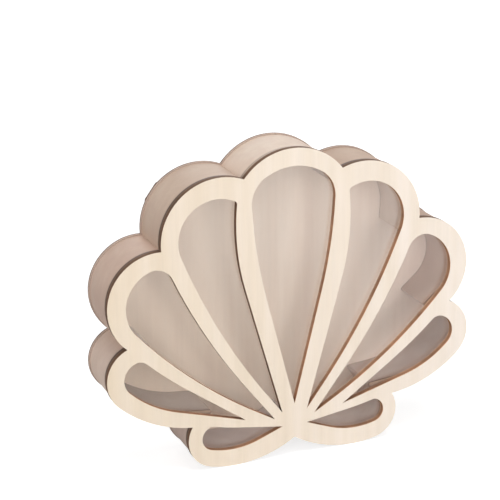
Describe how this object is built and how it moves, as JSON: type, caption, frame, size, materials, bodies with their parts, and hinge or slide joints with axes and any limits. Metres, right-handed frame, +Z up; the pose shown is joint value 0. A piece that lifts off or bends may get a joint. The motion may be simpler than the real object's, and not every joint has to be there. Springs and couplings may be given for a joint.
{
  "type": "seashell display case",
  "caption": "Free-standing wooden display case in the shape of a scallop shell, with a fretwork front over a clear pane, a deep wall and a lift-out back panel held by turn buttons.",
  "frame": {"origin": "on the table, midway between the two feet and midway through the overall depth, hardware on the back included", "axes": "+X to the right seen from the front, +Z up, the fretwork front faces -Y"},
  "size_m": [0.302, 0.0546, 0.2494],
  "materials": {
    "front_ply": "bare basswood plywood, pale, with scorched laser-cut edges",
    "acrylic": "clear, polished",
    "wall_wood": "bare basswood, sanded, slightly darker than the front",
    "rear_ply": "bare basswood plywood with scorched laser-cut edges",
    "panel_ply": "bare basswood plywood, flat",
    "button_ply": "bare basswood plywood with scorched edges",
    "brass": "plain, slightly dulled"
  },
  "bodies": {
    "case": {"front_frame": "front_ply", "window_pane": "acrylic", "wall_crown": "wall_wood", "wall_shoulder_left": "wall_wood", "wall_shoulder_right": "wall_wood", "wall_cheek_left": "wall_wood", "wall_cheek_right": "wall_wood", "wall_wing_left": "wall_wood", "wall_wing_right": "wall_wood", "wall_foot_left": "wall_wood", "wall_foot_right": "wall_wood", "rear_frame": "rear_ply", "pivot_screw_shoulder_left": "brass", "pivot_screw_shoulder_right": "brass", "pivot_screw_belly_left": "brass", "pivot_screw_belly_right": "brass", "pivot_washer_shoulder_left": "brass", "pivot_washer_shoulder_right": "brass", "pivot_washer_belly_left": "brass", "pivot_washer_belly_right": "brass"},
    "back_panel": {"back_panel": "panel_ply"},
    "turn_button_shoulder_left": {"turn_button_shoulder_left": "button_ply"},
    "turn_button_shoulder_right": {"turn_button_shoulder_right": "button_ply"},
    "turn_button_belly_left": {"turn_button_belly_left": "button_ply"},
    "turn_button_belly_right": {"turn_button_belly_right": "button_ply"}
  },
  "joints": [
    {"name": "back_panel_slide", "type": "slide", "parent": "case", "child": "back_panel", "axis": [0, 1, 0], "range_m": [0, 0.1]},
    {"name": "turn_button_shoulder_left_turn", "type": "hinge", "parent": "case", "child": "turn_button_shoulder_left", "pos_m": [-0.08917, 0.02515, 0.21647], "axis": [0, -1, 0], "continuous": true},
    {"name": "turn_button_shoulder_right_turn", "type": "hinge", "parent": "case", "child": "turn_button_shoulder_right", "pos_m": [0.08917, 0.02515, 0.21647], "axis": [0, 1, 0], "continuous": true},
    {"name": "turn_button_belly_left_turn", "type": "hinge", "parent": "case", "child": "turn_button_belly_left", "pos_m": [-0.11628, 0.02515, 0.05097], "axis": [0, -1, 0], "continuous": true},
    {"name": "turn_button_belly_right_turn", "type": "hinge", "parent": "case", "child": "turn_button_belly_right", "pos_m": [0.11628, 0.02515, 0.05097], "axis": [0, 1, 0], "continuous": true}
  ]
}
